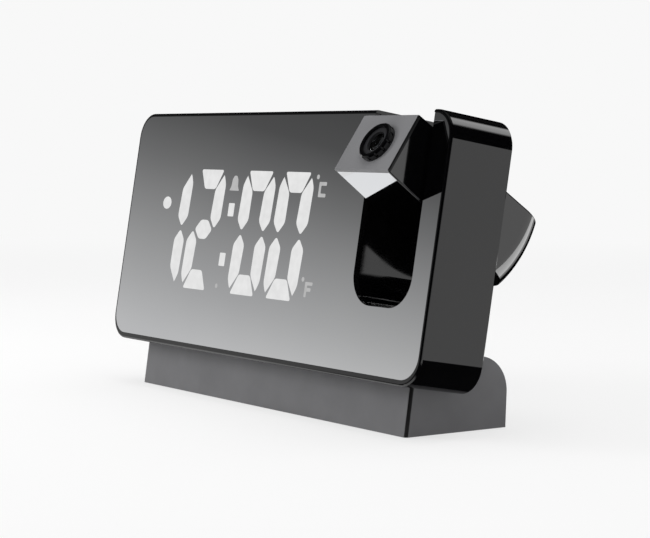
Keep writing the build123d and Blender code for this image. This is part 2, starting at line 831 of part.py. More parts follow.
def base_plate():
    """Bottom plate, set between the base's walls, with a recess for the pad."""
    form = base_form(base_wall + seat_gap, 0)
    big = base_width
    plate = form & block((-big, -big, pad_proud), (big, big, plate_top))
    recess = extrude(pad_outline(seat_gap), pad_thickness)
    plate -= recess
    for x, y in port_post_places():
        plate += Pos(x, y, 0) * column(port_post_radius, plate_top, plate_top + port_post_height)
    for x in (-foot_screw_x, foot_screw_x):
        for y in (-foot_screw_y, foot_screw_y):
            plate -= Pos(x, y, 0) * column(screw_radius + running_fit, 0, plate_top + 1)
            plate -= Pos(x, y, 0) * column(screw_head_radius + seat_gap, 0, pad_proud + screw_head_height)
    return plate


def pad_outline(grow):
    return RectangleRounded(pad_width + 2 * grow, pad_depth + 2 * grow, pad_corner + grow)


def base_pad():
    """Anti-slip pad that the clock stands on."""
    return extrude(pad_outline(0), pad_thickness)


def base_screw(x, y):
    return Pos(x, y, pad_proud + screw_head_height) * Rot(180, 0, 0) * screw(screw_length)


def stand_screw(side):
    place = Pos(side * stand_screw_x, stand_screw_depth, -base_wall) * Rot(180, 0, 0)
    return BODY * place * screw(stand_screw_length)


# ---- sockets --------------------------------------------------------------------------------
def port_post_places():
    dx = port_board_width / 2 - port_post_radius
    dy = port_board_depth - 2 * port_post_radius
    back = port_board_back() - port_post_radius
    return [(i * dx, back - j * dy) for i in (-1, 1) for j in (0, 1)]


def port_board_back():
    return base_depth / 2 - base_wall - 2 * seat_gap


def port_board():
    low = plate_top + port_post_height
    return block(
        (-port_board_width / 2, port_board_back() - port_board_depth, low),
        (port_board_width / 2, port_board_back(), port_level),
    )


def socket_box(x, width, height, length, grow):
    """Box of a socket, or of the opening for it, with its mouth at the base's rear."""
    mouth = base_depth / 2
    return block(
        (x - width / 2 - grow, mouth - length - grow, port_level - grow),
        (x + width / 2 + grow, mouth + (base_wall if grow else 0), port_level + height + grow),
    )


def socket_openings():
    """Openings in the rear wall, one round each socket."""
    dc = socket_box(socket_spacing / 2, dc_width, dc_height, base_wall * 2, port_gap)
    usb = socket_box(-socket_spacing / 2, usb_width, usb_height, base_wall * 2, port_gap)
    return [dc, usb]


def dc_jack():
    """Barrel socket with a round bore."""
    jack = socket_box(socket_spacing / 2, dc_width, dc_height, dc_length, 0)
    return jack - dc_place() * column(dc_bore, -1, dc_bore_length)


def dc_place():
    """The barrel socket's axis, from its mouth into the base."""
    return Pos(socket_spacing / 2, base_depth / 2, port_level + dc_height / 2) * Rot(90, 0, 0)


def dc_pin():
    """Centre contact, standing on the end of the barrel socket's bore."""
    return dc_place() * column(dc_pin_radius, touch_gap, dc_bore_length)


def usb_port():
    """Charging outlet: metal shell with the contact tongue inside."""
    x = -socket_spacing / 2
    mouth = base_depth / 2
    port = socket_box(x, usb_width, usb_height, usb_length, 0)
    port -= block(
        (x - usb_width / 2 + usb_shell, mouth - usb_depth, port_level + usb_shell),
        (x + usb_width / 2 - usb_shell, mouth + 1, port_level + usb_height - usb_shell),
    )
    high = port_level + usb_height - 2 * usb_shell
    tongue = block(
        (x - usb_tongue_width / 2, mouth - usb_depth, high - usb_tongue),
        (x + usb_tongue_width / 2, mouth - usb_shell, high),
    )
    return port + tongue


# ---- write one file for each piece -----------------------------------------------------------
def save(name, shape):
    export_step(shape, f"parts/{name}.step")


def body_pieces():
    pieces = {
        "front_housing": front_housing(),
        "mirror_panel": mirror_panel(),
        "rear_cover": rear_cover(),
        "diffuser_film": diffuser_film(),
        "digit_reflector": digit_reflector(),
        "display_board": display_board(),
        "main_board": main_board(),
        "snooze_bar": snooze_bar(),
        "snooze_switch": snooze_switch(),
        "cell_holder": cell_holder(),
        "coin_cell": coin_cell(),
        "battery_door": battery_door(),
        "battery_door_screw": battery_door_screw(),
        "buzzer": buzzer(),
    }
    for name, (x, z) in zip(button_names, button_places()):
        pieces[f"button_{name}"] = button(x, z)
        pieces[f"switch_{name}"] = tact_switch(x, z)
    for number, (x, z) in enumerate(cover_screw_places(), 1):
        pieces[f"cover_screw_{number}"] = cover_screw(x, z)
    for name, side in (("left", -1), ("right", 1)):
        pieces[f"pivot_stub_{name}"] = pivot_stub(side)
        pieces[f"pivot_washer_{name}"] = pivot_washer(side)
    return pieces


def arm_pieces():
    return {
        "arm_shell": arm_shell(),
        "arm_mirror": arm_mirror(),
        "arm_cap": arm_cap(),
        "optics_tube": optics_tube(),
        "time_slide": time_slide(),
        "condenser_lens": condenser_lens(),
        "projector_lamp": projector_lamp(),
        "lamp_board": lamp_board(),
        "focus_ring": focus_ring(),
        "lens_barrel": lens_barrel(),
        "projection_lens": projection_lens(),
    }


def base_pieces():
    pieces = {
        "base_stand": base_stand(),
        "base_plate": base_plate(),
        "base_pad": base_pad(),
        "port_board": port_board(),
        "dc_jack": dc_jack(),
        "dc_pin": dc_pin(),
        "usb_port": usb_port(),
        "stand_screw_left": stand_screw(-1),
        "stand_screw_right": stand_screw(1),
    }
    places = [(x, y) for x in (-foot_screw_x, foot_screw_x) for y in (-foot_screw_y, foot_screw_y)]
    for number, (x, y) in enumerate(places, 1):
        pieces[f"base_screw_{number}"] = base_screw(x, y)
    return pieces


for name, shape in body_pieces().items():
    save(name, BODY * shape)
for name, shape in arm_pieces().items():
    save(name, BODY * ARM * shape)
for name, shape in base_pieces().items():
    save(name, shape)
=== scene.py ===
# %% [markdown]
# # Projection alarm clock
#
# A bedside clock with a mirror front. White digits shine through the mirror, and a small
# projector arm swings in a slot near the right end. The slab leans back on a low base.
#
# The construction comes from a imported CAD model, the frame. It holds every piece at its real
# size, in metres, so this script only adds what CAD leaves out: the finishes, the lit display,
# the camera, the room, the table and the lights.

from math import cos, pi, radians, sin, tan

import bmesh
import bpy
from mathutils import Matrix, Vector


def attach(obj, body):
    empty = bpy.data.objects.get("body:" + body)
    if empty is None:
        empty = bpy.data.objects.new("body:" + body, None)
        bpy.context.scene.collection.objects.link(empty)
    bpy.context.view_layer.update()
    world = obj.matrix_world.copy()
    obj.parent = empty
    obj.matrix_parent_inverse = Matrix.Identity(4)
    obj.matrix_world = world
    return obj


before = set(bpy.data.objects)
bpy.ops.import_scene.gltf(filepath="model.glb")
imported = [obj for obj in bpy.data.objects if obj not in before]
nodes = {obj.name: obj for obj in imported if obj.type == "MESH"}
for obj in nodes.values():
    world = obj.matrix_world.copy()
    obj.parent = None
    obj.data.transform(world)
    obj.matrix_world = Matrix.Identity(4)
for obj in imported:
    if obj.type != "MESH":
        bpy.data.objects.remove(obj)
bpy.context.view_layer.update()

# %% [markdown]
# ## Colours and nodes
#
# Colours are written as sRGB hex values, as a paint chart gives them, and turned to the linear
# light that Blender mixes. One function adds any node to a tree, with its settings and its
# links, so that each finish below reads as a short list.

# %% Helpers for colours and nodes
mm = 0.001


def linear(hex_colour):
    """sRGB hex, such as "#8090A0", to a linear colour with alpha."""
    values = [int(hex_colour[i:i + 2], 16) / 255 for i in (1, 3, 5)]
    return [v / 12.92 if v <= 0.04045 else ((v + 0.055) / 1.055) ** 2.4 for v in values] + [1.0]


def add(tree, kind, inputs=None, **settings):
    """Adds a node; an input is a value, a hex colour, or another node's output to link from."""
    node = tree.nodes.new(kind)
    for name, value in settings.items():
        setattr(node, name, value)
    for name, value in (inputs or {}).items():
        socket = node.inputs[name]
        if isinstance(value, bpy.types.NodeSocket):
            tree.links.new(value, socket)
        elif isinstance(value, str) and value.startswith("#"):
            socket.default_value = linear(value)
        else:
            socket.default_value = value
    return node


print("mid grey in linear light:", round(linear("#808080")[0], 3))

# %% [markdown]
# ## Finishes
#
# Every finish is procedural. Noise of a real size varies its colour, roughness and relief a
# little, as happens on any moulded or plated part. A flat colour would be simpler, but the eye
# takes it for a drawing. The noise reads Object coordinates: every piece lies in metres, with
# its object at the origin, so a scale of 1000 over a size in millimetres gives that size.

# %% What the finishes are made of
noise_low, noise_high = 0.3, 0.7    # most of the noise lies between these


def new_finish(name):
    """A new material with an empty node tree, and the place on the piece."""
    material = bpy.data.materials.new(name)
    material.use_nodes = True
    tree = material.node_tree
    tree.nodes.clear()
    place = add(tree, "ShaderNodeTexCoord").outputs["Object"]
    return material, tree, place


def fine_bump(tree, place, size_mm, height_mm, strength, detail=3.0):
    """A grained surface: the grain's size and height are real ones."""
    grain = add(tree, "ShaderNodeTexNoise", {
        "Vector": place, "Scale": 1000 / size_mm, "Detail": detail,
    })
    bump = add(tree, "ShaderNodeBump", {
        "Height": grain.outputs["Fac"], "Distance": height_mm * mm, "Strength": strength,
    })
    return bump.outputs["Normal"]


def spread(tree, place, size_mm, low, high):
    """A soft variation between two numbers, over patches of a real size."""
    noise = add(tree, "ShaderNodeTexNoise", {
        "Vector": place, "Scale": 1000 / size_mm, "Detail": 2.0,
    })
    scaled = add(tree, "ShaderNodeMapRange", {
        "Value": noise.outputs["Fac"], "From Min": noise_low, "From Max": noise_high,
        "To Min": low, "To Max": high,
    })
    return scaled.outputs["Result"]


print("noise range:", noise_low, noise_high)

# %% Layers of colour
def layered(tree, colour, layers):
    """Lays colours over one another; each covers the ones below where its share is 1."""
    for share, cover in layers:
        mix = add(tree, "ShaderNodeMix", {
            "Factor": share, "A": colour, "B": cover,
        }, data_type="RGBA")
        colour = mix.outputs["Result"]
    return colour


def tint(tree, place, size_mm, first, second):
    """A soft variation between two colours, over patches of a real size."""
    return layered(tree, first, [(spread(tree, place, size_mm, 0.0, 1.0), second)])


print("colours are layered with:", layered.__name__, "and", tint.__name__)

# %% [markdown]
# ### Gloss black ABS and lacquer
#
# The body, its buttons and the focus ring are ABS, injection-moulded in a polished tool. It is
# nearly as glossy as glass, so the eye sees the room in it and hardly the black itself. The
# base colour is therefore almost black, the roughness is low, and a very faint waviness keeps
# the reflections from looking ruled. The projector arm has a harder, shinier lacquer: the same
# finish with a higher index.

# %% Gloss black
def gloss_black_abs(name, index):
    """Deep black, sharp reflections, and a very faint waviness."""
    material, tree, place = new_finish(name)
    shader = add(tree, "ShaderNodeBsdfPrincipled", {
        "Base Color": tint(tree, place, 30, "#030304", "#060607"),
        "Roughness": spread(tree, place, 8, 0.06, 0.10),
        "IOR": index,
        "Normal": fine_bump(tree, place, 9, 0.006, 0.4, 1.0),
    })
    add(tree, "ShaderNodeOutputMaterial", {"Surface": shader.outputs["BSDF"]})
    return material


finishes = {
    "gloss": gloss_black_abs("gloss_black_abs", 1.62),
    "lacquer": gloss_black_abs("gloss_black_lacquer", 1.8),
}
print("gloss:", [material.name for material in finishes.values()])

# %% [markdown]
# ### Satin grey ABS
#
# The base, the covers, the arm's cap and the lens barrel come from spark-eroded tools, which
# leave an even grain that scatters the light. So they look soft beside the gloss body. The
# real grain is about a tenth of a millimetre; it is drawn at a third of one, because a finer
# one wouldn't show. The narrow roundings at the base's front corners and at the cap's sides
# read as dark lines. They are too narrow to leave to the lamps, so shade is painted into the
# colour instead: it turns near black where the surface faces that way.

# %% Where a surface faces
def towards(tree, vector, axis, edge):
    """1 where a vector points along an axis, 0 elsewhere; the edge says where it turns."""
    along = add(tree, "ShaderNodeVectorMath", {0: vector, 1: axis}, operation="DOT_PRODUCT")
    step = add(tree, "ShaderNodeMapRange", {
        "Value": along.outputs["Value"], "From Min": edge[0], "From Max": edge[1],
    }, interpolation_type="SMOOTHSTEP")
    return step.outputs["Result"]


def facing(tree, axis, edge):
    """1 where the piece's own surface faces along an axis, 0 elsewhere."""
    normal = add(tree, "ShaderNodeNewGeometry").outputs["Normal"]
    own = add(tree, "ShaderNodeVectorTransform", {
        "Vector": normal,
    }, vector_type="NORMAL", convert_from="WORLD", convert_to="OBJECT")
    return towards(tree, own.outputs["Vector"], axis, edge)


# Painted shade: where the surface faces one of these ways, the satin colour turns near black.
base_corners = {"left": (-0.7, -0.7, 0), "right": (0.7, -0.7, 0), "edge": (0.78, 0.90)}
cap_sides = {"left": (-1, 0, 0), "right": (1, 0, 0), "edge": (0.45, 0.65)}
print("dark where facing:", base_corners["left"], cap_sides["left"], "and their mirror images")

# %% Satin grey
def satin_grey_abs(name, first, second, roughness, dark=base_corners):
    """Fine even grain, a soft sheen, and painted shade on the narrow upright roundings."""
    material, tree, place = new_finish(name)
    # Painted shade: 1 on the narrow roundings, where the colour is laid over with near black.
    painted_shade = add(tree, "ShaderNodeMath", {
        0: facing(tree, dark["left"], dark["edge"]), 1: facing(tree, dark["right"], dark["edge"]),
    }, operation="MAXIMUM")
    grey = tint(tree, place, 12, first, second)
    shader = add(tree, "ShaderNodeBsdfPrincipled", {
        "Base Color": layered(tree, grey, [(painted_shade.outputs["Value"], "#050506")]),
        "Roughness": spread(tree, place, 5, roughness - 0.04, roughness + 0.04),
        "IOR": 1.54,
        "Normal": fine_bump(tree, place, 0.35, 0.02, 0.6),
    })
    add(tree, "ShaderNodeOutputMaterial", {"Surface": shader.outputs["BSDF"]})
    return material


finishes["base"] = satin_grey_abs("satin_grey_abs", "#606062", "#666668", 0.45)
finishes["cap"] = satin_grey_abs("satin_silver_grey_abs", "#737375", "#79797B", 0.40, cap_sides)
finishes["cover"] = satin_grey_abs("satin_dark_abs", "#29292B", "#303032", 0.45)
print("satin:", [finishes[key].name for key in ("base", "cap", "cover")])

# %% [markdown]
# ### Smoked mirror
#
# The front is an acrylic sheet with a thin metal coat that lets the digits through, and the
# arm carries a small strip of the same sheet. A half-silvered sheet could be built from glass
# and a coat, but the light film of the digits lies just in front of it here, so a plain metal
# face gives the same look and renders clean. Only the face is metal: the sawn edge is dark.

# %% Mirror
front_axis = (0, -0.986, 0.167)     # the way the leaning front faces
arm_axis = (0, -0.613, -0.790)      # the way the strip under the projector's lens faces
face_edge = (0.9, 0.97)


def smoked_mirror(name, axis):
    """A neutral mirror on the face, a dark sawn edge round it."""
    material, tree, place = new_finish(name)
    face = facing(tree, axis, face_edge)
    coat = tint(tree, place, 60, "#EDEEF0", "#F2F3F4")
    shader = add(tree, "ShaderNodeBsdfPrincipled", {
        "Base Color": layered(tree, "#0A0A0B", [(face, coat)]),
        "Metallic": face,
        "Roughness": spread(tree, place, 25, 0.015, 0.035),
    })
    add(tree, "ShaderNodeOutputMaterial", {"Surface": shader.outputs["BSDF"]})
    return material


finishes["mirror"] = smoked_mirror("smoked_mirror_acrylic", front_axis)
finishes["arm_mirror"] = smoked_mirror("smoked_mirror_arm", arm_axis)
print("mirrors:", finishes["mirror"].name, finishes["arm_mirror"].name)

# %% [markdown]
# ### Light of the display
#
# Chip lights behind a diffuser film glow evenly, with a slightly softer patch here and there.
# Real lamps behind a film would be slow and noisy to render, so the lit shapes emit the light
# themselves, at a strength that stays just under white.

# %% Display light
def display_light(name, first, second, strength):
    """White chip light behind a diffuser, varied over patches of 3 mm."""
    material, tree, place = new_finish(name)
    glow = add(tree, "ShaderNodeEmission", {
        "Color": tint(tree, place, 3, first, second), "Strength": strength,
    })
    add(tree, "ShaderNodeOutputMaterial", {"Surface": glow.outputs["Emission"]})
    return material


finishes["light"] = display_light("display_white_light", "#EDEDED", "#F6F6F6", 0.88)
finishes["dim"] = display_light("display_dim_light", "#C0C0C0", "#CCCCCC", 0.84)
print("lights of the display:", finishes["light"].name, finishes["dim"].name)

# %% [markdown]
# ### Small parts
#
# Most of these sit inside or at the rear. Matt ABS and silicone rubber scatter the light, so
# they look flat and dark. Zinc and nickel plating are metals with a fine grain that blurs what
# they mirror. A circuit board has a green solder mask over its glass weave, and acetal washers
# are a waxy off-white. One function serves them all, because they differ in colour, roughness
# and grain only. The lenses are polished clear acrylic, which has to bend light, so they get a
# finish of their own.

# %% Rubber, steel, boards and washers
def plain_finish(name, first, second, roughness, metallic=0.0, grain_mm=0.6, height_mm=0.01):
    """A real grain, and a slight change of colour and roughness over the piece."""
    material, tree, place = new_finish(name)
    shader = add(tree, "ShaderNodeBsdfPrincipled", {
        "Base Color": tint(tree, place, 6, first, second),
        "Metallic": metallic,
        "Roughness": spread(tree, place, 3, roughness - 0.03, roughness + 0.03),
        "Normal": fine_bump(tree, place, grain_mm, height_mm, 0.6),
    })
    add(tree, "ShaderNodeOutputMaterial", {"Surface": shader.outputs["BSDF"]})
    return material


# Name, two colours and roughness; then metallic, and the grain's size and height in mm
small_parts = {
    "matt": ("matt_black_abs", "#0C0C0D", "#141415", 0.55),
    "rubber": ("black_silicone_rubber", "#131313", "#1B1B1B", 0.8, 0.0, 0.5, 0.02),
    "steel": ("zinc_plated_steel", "#A8A9AC", "#BFC0C2", 0.32, 1.0, 0.3, 0.004),
    "nickel": ("nickel_plated_steel", "#B9B6AE", "#C9C6BE", 0.25, 1.0, 0.3, 0.003),
    "white": ("white_reflector_plastic", "#E6E6E2", "#EFEFEC", 0.5),
    "film": ("diffuser_film", "#DCE0E2", "#E6E8EA", 0.6),
    "board": ("green_circuit_board", "#0B3B1D", "#0F4A25", 0.35, 0.0, 0.8, 0.01),
    "acetal": ("acetal_washer", "#CFCDC4", "#D9D7CF", 0.4),
}
for key, values in small_parts.items():
    finishes[key] = plain_finish(*values)
print("small parts:", list(small_parts))

# %% Lenses
def optical_acrylic():
    """Clear polished lens with a faint cool cast."""
    material, tree, place = new_finish("optical_acrylic")
    shader = add(tree, "ShaderNodeBsdfPrincipled", {
        "Base Color": tint(tree, place, 20, "#E8F0F4", "#F0F4F6"),
        "Roughness": spread(tree, place, 10, 0.0, 0.01),
        "IOR": 1.49,
        "Transmission Weight": 1.0,
    })
    add(tree, "ShaderNodeOutputMaterial", {"Surface": shader.outputs["BSDF"]})
    return material


finishes["lens"] = optical_acrylic()
print("finishes:", len(finishes))

# %% [markdown]
# ## Dress the CAD nodes
#
# A CAD piece keeps its mesh, because its shape is right already. Only its material slot is
# filled anew, with the finish of the real part. Buttons, switches and screws come in rows, so
# they are found by their names.

# %% Finish of each CAD node
dress = {
    "gloss": ["front_housing", "focus_ring", "snooze_bar"],
    "lacquer": ["arm_shell"],
    "mirror": ["mirror_panel"],
    "arm_mirror": ["arm_mirror"],
    "base": ["base_stand"],
    "cap": ["arm_cap"],
    "cover": ["rear_cover", "battery_door", "base_plate", "lens_barrel"],
    "matt": ["optics_tube", "cell_holder", "buzzer", "dc_jack", "snooze_switch"],
    "rubber": ["base_pad"],
    "steel": ["coin_cell", "battery_door_screw"],
    "nickel": ["usb_port", "dc_pin", "pivot_stub_left", "pivot_stub_right"],
    "white": ["digit_reflector"],
    "film": ["diffuser_film"],
    "board": ["display_board", "main_board", "lamp_board", "port_board"],
    "acetal": ["pivot_washer_left", "pivot_washer_right"],
    "lens": ["projection_lens", "condenser_lens", "time_slide", "projector_lamp"],
}
finish_of = {node: finish for finish, names in dress.items() for node in names}
for node in nodes:
    if node.startswith("button_"):
        finish_of[node] = "gloss"
    elif node.startswith("switch_"):
        finish_of[node] = "matt"
    elif "_screw_" in node:
        finish_of[node] = "steel"
for node, piece in nodes.items():
    piece.data.materials.clear()
    piece.data.materials.append(finishes[finish_of[node]])
print("dressed:", len(finish_of), "nodes")

# %% [markdown]
# ## Lit display
#
# Each digit has seven segments: long pointed bars at the sides, short trapezoids at the top
# and bottom, and a small hexagon in the middle. The real ones are windows in a reflector behind
# the sheet. Here they are flat lit shapes just in front of its coat, so that they stay crisp.
# A segment is made once, about its own middle, and Geometry Nodes set one copy on every lit
# place. The places are worked out in millimetres in the leaning plane of the mirror.

# %% The mirror's plane
lean = radians(9.6)                 # the body leans back
body_forward = 25.6 * mm            # the body's lower edge, in front of the base's centre
body_lift = 16.8 * mm               # and above the table
light_proud = 0.03 * mm             # the lit shapes, in front of the coat

across = Vector((1, 0, 0))
up = Vector((0, sin(lean), cos(lean)))
outward = across.cross(up)
corner = Vector((0, -body_forward, body_lift))
on_mirror = Matrix.Translation(corner + outward * light_proud)
on_mirror = on_mirror @ Matrix((across, up, outward)).transposed().to_4x4()
print("outward:", tuple(round(v, 3) for v in outward))

# %% Sizes of the digits, in millimetres
digit_height = 42.6
digit_width = 20.4
digit_floor = 21.2                  # above the body's lower edge
digit_places = (-61.7, -39.3, -7.5, 15.25)
stroke = 6.8                        # width of the side bars
cap_width = 15.0                    # outer edge of the top and bottom segments
cap_root = 7.2                      # and their inner edge
cap_depth = 6.9
web = 1.1                           # dark gap between neighbouring segments
slant = tan(radians(3.2))

half_width = digit_width / 2
half_height = digit_height / 2
digit_middle = digit_floor + half_height
print("middle of the digits:", digit_middle, "mm up the mirror")

# %% Outlines of the segments
def side_segment():
    """Upper left bar: its foot is pointed and its head makes room for the top segment."""
    outer = -half_width
    inner = outer + stroke
    foot = stroke * 0.62
    shoulder = half_height - stroke * 0.75
    return [
        (outer + stroke / 2, web / 2),
        (outer, foot),
        (outer + 0.1, shoulder),
        (outer + stroke * 0.28, half_height - web * 1.6),
        (-cap_width / 2 - web * 0.4, half_height - web * 1.9),
        (inner - 0.3, half_height - cap_depth - web * 0.2),
        (inner, foot),
    ]


def cap_segment():
    """Top bar: a trapezoid, wide side up."""
    return [
        (-cap_width / 2, half_height),
        (-cap_root / 2, half_height - cap_depth),
        (cap_root / 2, half_height - cap_depth),
        (cap_width / 2, half_height),
    ]


def middle_segment():
    """Small hexagon between the four side bars."""
    reach = half_width - stroke / 2 - web
    high = stroke / 2
    flat = reach - high
    return [(-reach, 0), (-flat, -high), (flat, -high), (reach, 0), (flat, high), (-flat, high)]


print("corners:", len(side_segment()), len(cap_segment()), len(middle_segment()))

# %% [markdown]
# The clock shows 12:00. A lit segment is one point with two numbers: which outline it uses,
# and by how much that outline is turned. Half a turn makes the bottom bar from the top one and
# the lower right bar from the upper left one, so four outlines are enough.

# %% Lit segments of each digit
digit_shapes = {
    "cap": cap_segment(),
    "left_bar": side_segment(),
    "middle": middle_segment(),
    "right_bar": [(-x, z) for x, z in side_segment()],
}
segment_at = {
    "top": ("cap", 0),
    "bottom": ("cap", pi),
    "upper_left": ("left_bar", 0),
    "lower_right": ("left_bar", pi),
    "upper_right": ("right_bar", 0),
    "lower_left": ("right_bar", pi),
    "middle": ("middle", 0),
}
lit = {
    "1": ["upper_right", "lower_right"],
    "2": ["top", "upper_right", "middle", "lower_left", "bottom"],
    "0": ["top", "bottom", "upper_left", "upper_right", "lower_left", "lower_right"],
}
print("lit segments:", sum(len(lit[figure]) for figure in "1200"))

# %% Outlines of the small signs
def oval(half_wide, half_high):
    """A dot of twelve corners."""
    return [(half_wide * cos(k * pi / 6), half_high * sin(k * pi / 6)) for k in range(12)]


sign_shapes = {
    "bell": [
        (-3.1, -2.4), (3.1, -2.4), (2.1, -0.9), (1.8, 1.5), (0.8, 2.8),
        (-0.8, 2.8), (-1.8, 1.5), (-2.1, -0.9),
    ],
    "colon_bar": [(-1.85, -2.3), (1.85, -2.3), (1.85, 2.3), (-1.85, 2.3)],
    "degree_dot": oval(0.8, 0.8),
    "letter_c": [
        (-2.1, -2.5), (2.1, -2.5), (2.1, -1.3), (-0.9, -1.3),
        (-0.9, 1.3), (2.1, 1.3), (2.1, 2.5), (-2.1, 2.5),
    ],
    "letter_f": [
        (-2.1, -2.5), (-0.9, -2.5), (-0.9, -0.6), (1.4, -0.6), (1.4, 0.6),
        (-0.9, 0.6), (-0.9, 1.4), (2.1, 1.4), (2.1, 2.5), (-2.1, 2.5),
    ],
    "small_dot": oval(3.0, 2.3),
}
sign_places = {
    "bright_signs": [
        ("colon_bar", -22.6, 50.0), ("colon_bar", -24.0, 32.6), ("small_dot", -67.2, 51.2),
    ],
    "dim_signs": [
        ("bell", -22.4, 59.1), ("degree_dot", 28.1, 62.4), ("letter_c", 31.4, 58.3),
        ("degree_dot", 27.4, 28.8), ("letter_f", 31.1, 25.6), ("degree_dot", -25.4, 23.3),
    ],
}
print("signs:", sum(len(places) for places in sign_places.values()))

# %% [markdown]
# An outline becomes a flat face whose corners are bevelled round, because a milled or moulded
# window has no sharp corner. The faces of a kind are kept in one collection.

# %% One flat outline as a mesh
def area_sign(points):
    """1 for a counter-clockwise outline, -1 for a clockwise one."""
    total = 0
    for (ax, az), (bx, bz) in zip(points, points[1:] + points[:1]):
        total += ax * bz - bx * az
    return 1 if total > 0 else -1


def outline_piece(name, points, rounding):
    """A flat face with rounded corners, about its own middle, that faces outwards."""
    mesh = bmesh.new()
    if area_sign(points) < 0:
        points = points[::-1]
    mesh.faces.new([mesh.verts.new((x * mm, z * mm, 0)) for x, z in points])
    bmesh.ops.bevel(
        mesh, geom=mesh.verts[:], offset=rounding * mm, segments=3, affect="VERTICES", profile=0.5
    )
    data = bpy.data.meshes.new(name)
    mesh.to_mesh(data)
    mesh.free()
    return bpy.data.objects.new(name, data)


def outline_collection(name, shapes, rounding):
    """Outlines in alphabetical order, which is the order that the node picks them in."""
    collection = bpy.data.collections.new(name)
    for shape in sorted(shapes):
        collection.objects.link(outline_piece(f"{name}_{shape}", shapes[shape], rounding))
    return collection


digit_rounding, sign_rounding = 1.0, 0.35    # millimetres
digit_outlines = outline_collection("digit_outline", digit_shapes, digit_rounding)
sign_outlines = outline_collection("sign_outline", sign_shapes, sign_rounding)

# %% [markdown]
# Geometry Nodes lay the outlines out. The group takes a cloud of points and a collection of
# outlines, sets the right outline on each point, gives it its turn and then slants the whole
# row, so that every digit leans by the same angle. The copies are made real before the slant,
# because a slant bends a shape and a copy can only be moved, turned or resized.

# %% Geometry Nodes: outlines on points
def light_row_group():
    """Outlines on points; returns the tree and its inputs' identifiers by name."""
    tree = bpy.data.node_groups.new("light_row", "GeometryNodeTree")
    ids = {}
    for label, kind in (
        ("Points", "Geometry"), ("Outlines", "Collection"), ("Slant", "Float"),
        ("Middle", "Float"), ("Material", "Material"),
    ):
        socket = tree.interface.new_socket(label, in_out="INPUT", socket_type="NodeSocket" + kind)
        ids[label] = socket.identifier
    tree.interface.new_socket("Geometry", in_out="OUTPUT", socket_type="NodeSocketGeometry")
    given = add(tree, "NodeGroupInput").outputs

    shapes = add(tree, "GeometryNodeCollectionInfo", {
        "Collection": given["Outlines"], "Separate Children": True, "Reset Children": True,
    })
    which = add(tree, "GeometryNodeInputNamedAttribute", {"Name": "outline"}, data_type="FLOAT")
    turn = add(tree, "GeometryNodeInputNamedAttribute", {"Name": "turn"}, data_type="FLOAT")
    angle = add(tree, "ShaderNodeCombineXYZ", {"Z": turn.outputs["Attribute"]})
    row = add(tree, "GeometryNodeInstanceOnPoints", {
        "Points": given["Points"], "Instance": shapes.outputs["Instances"], "Pick Instance": True,
        "Instance Index": which.outputs["Attribute"], "Rotation": angle.outputs["Vector"],
    })
    copies = add(tree, "GeometryNodeRealizeInstances", {"Geometry": row.outputs["Instances"]})

    position = add(tree, "GeometryNodeInputPosition").outputs["Position"]
    place = add(tree, "ShaderNodeSeparateXYZ", {"Vector": position})
    above = add(tree, "ShaderNodeMath", {
        0: place.outputs["Y"], 1: given["Middle"],
    }, operation="SUBTRACT")
    shift = add(tree, "ShaderNodeMath", {
        0: above.outputs["Value"], 1: given["Slant"],
    }, operation="MULTIPLY")
    offset = add(tree, "ShaderNodeCombineXYZ", {"X": shift.outputs["Value"]})
    slanted = add(tree, "GeometryNodeSetPosition", {
        "Geometry": copies.outputs["Geometry"], "Offset": offset.outputs["Vector"],
    })

    real = add(tree, "GeometryNodeRealizeInstances", {"Geometry": slanted.outputs["Geometry"]})
    painted = add(tree, "GeometryNodeSetMaterial", {
        "Geometry": real.outputs["Geometry"], "Material": given["Material"],
    })
    add(tree, "NodeGroupOutput", {"Geometry": painted.outputs["Geometry"]})
    return tree, ids


light_row, light_row_ids = light_row_group()
print("group:", light_row.name, list(light_row_ids))

# %% [markdown]
# The group runs as a modifier on a mesh of bare points. Its result is read back as a plain
# mesh, because the export keeps no modifiers of this kind, and then moved onto the mirror.

# %% Turn a group's result into a plain mesh
def built(name, data, group, ids, values):
    """Runs a geometry group on a mesh and keeps the result as an ordinary piece."""
    piece = bpy.data.objects.new(name, data)
    bpy.context.scene.collection.objects.link(piece)
    modifier = piece.modifiers.new(group.name, "NODES")
    modifier.node_group = group
    for label, value in values.items():
        modifier[ids[label]] = value
    bpy.context.view_layer.update()
    evaluated = piece.evaluated_get(bpy.context.evaluated_depsgraph_get())
    result = bpy.data.meshes.new_from_object(evaluated)
    result.name = name
    piece.modifiers.remove(modifier)
    piece.data = result
    return piece


print("runs the group:", light_row.name)

# %% One row of lit shapes
def light_piece(name, places, shapes, outlines, slope, finish):
    """Lit outlines at their places: (outline's name, across, up, turn)."""
    order = sorted(shapes)
    data = bpy.data.meshes.new(name + "_points")
    data.from_pydata([(x * mm, z * mm, 0) for _, x, z, _ in places], [], [])
    for label, values in (
        ("outline", [order.index(shape) for shape, _, _, _ in places]),
        ("turn", [turn for _, _, _, turn in places]),
    ):
        data.attributes.new(label, "FLOAT", "POINT").data.foreach_set("value", values)
    piece = built(name, data, light_row, light_row_ids, {
        "Outlines": outlines, "Slant": slope, "Middle": digit_middle * mm,
        "Material": finishes[finish],
    })
    piece.data.transform(on_mirror)
    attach(piece, "housing")
    print(name, "faces:", len(piece.data.polygons))


# %% The four digits
for index, (figure, x) in enumerate(zip("1200", digit_places)):
    places = [(segment_at[part][0], x, digit_middle, segment_at[part][1]) for part in lit[figure]]
    light_piece(f"digit_{index + 1}", places, digit_shapes, digit_outlines, slant, "light")

# %% Colon, indicator dot, bell, and the Celsius and Fahrenheit signs
for name, finish in (("bright_signs", "light"), ("dim_signs", "dim")):
    places = [(shape, x, z, 0.0) for shape, x, z in sign_places[name]]
    light_piece(name, places, sign_shapes, sign_outlines, 0.0, finish)

